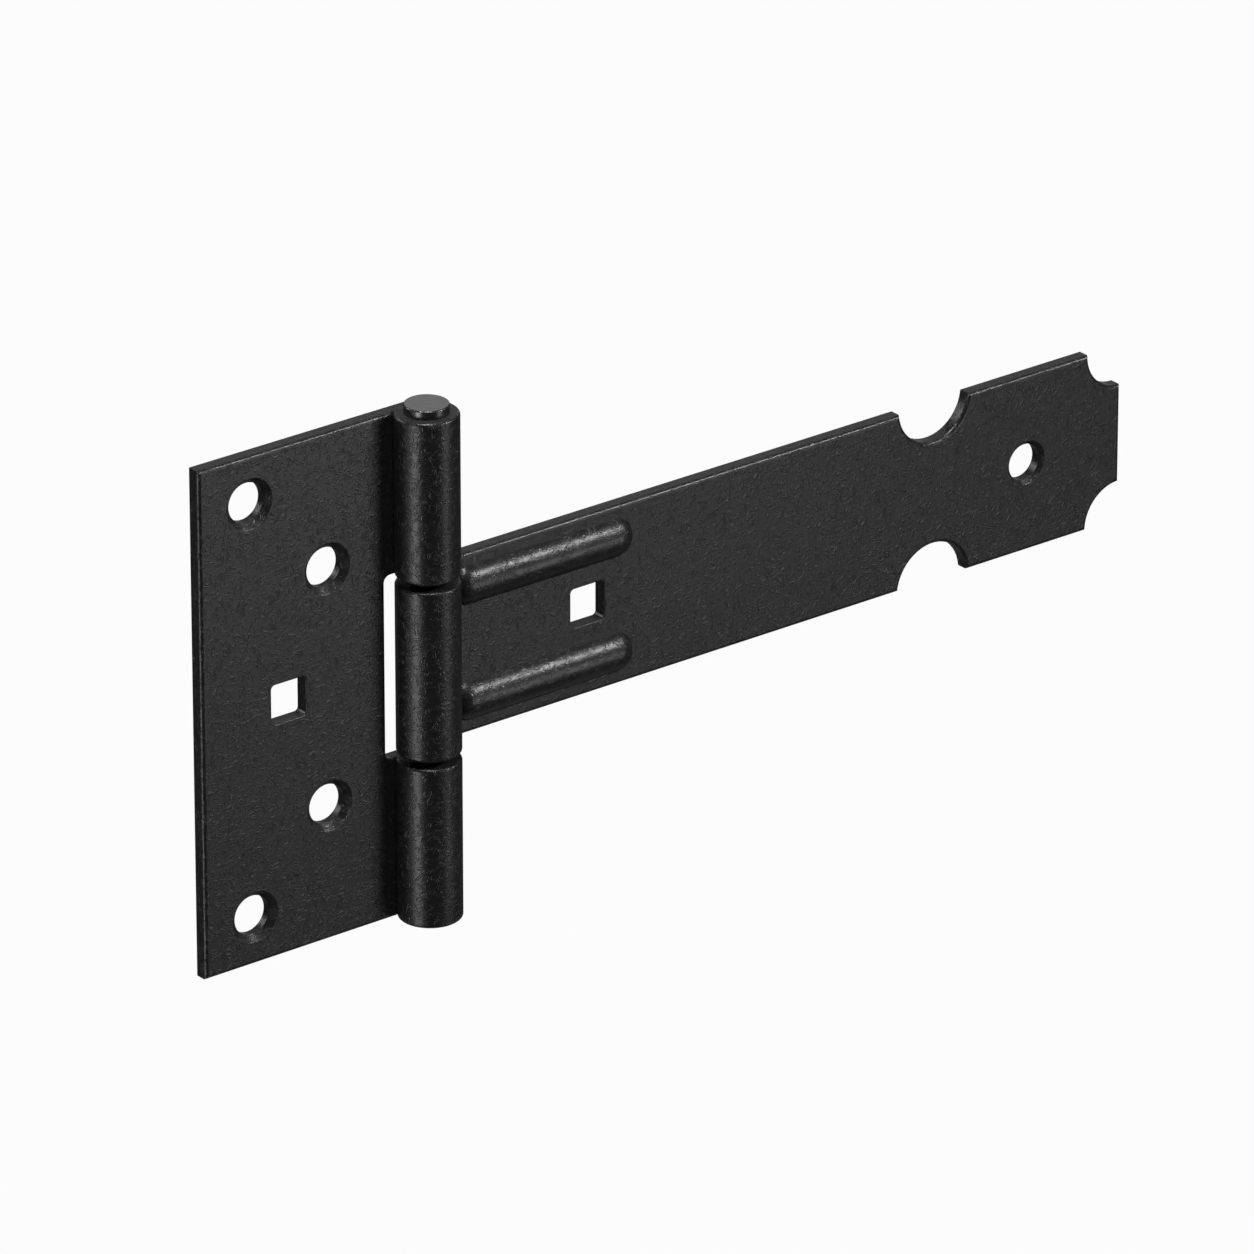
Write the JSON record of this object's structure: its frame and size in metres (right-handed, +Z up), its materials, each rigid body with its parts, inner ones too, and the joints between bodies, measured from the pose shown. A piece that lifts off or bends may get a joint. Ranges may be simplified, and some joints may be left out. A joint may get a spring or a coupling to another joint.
{
  "type": "tee hinge",
  "caption": "Tee hinge for gates and doors: a rectangular butt leaf and a long ribbed strap with a notched head, joined by rolled knuckles on a headed pin.",
  "frame": {"origin": "centre of the butt leaf's back face, at half the height of the pin", "axes": "+X from the butt leaf to the strap's tip, +Y into the wall or frame that the hinge is fixed to, +Z up along the pin to its head"},
  "size_m": [0.258, 0.0145, 0.122],
  "materials": {
    "coat": "matt black powder coat with a fine wrinkled texture",
    "pin": "smooth satin black"
  },
  "bodies": {
    "butt": {"butt_leaf": "coat", "hinge_pin": "pin"},
    "strap": {"strap_leaf": "coat"}
  },
  "joints": [
    {"name": "strap_swing", "type": "hinge", "parent": "butt", "child": "strap", "pos_m": [0.029, -0.00725, 0], "axis": [0, 0, -1], "range_deg": [-90, 180]}
  ]
}
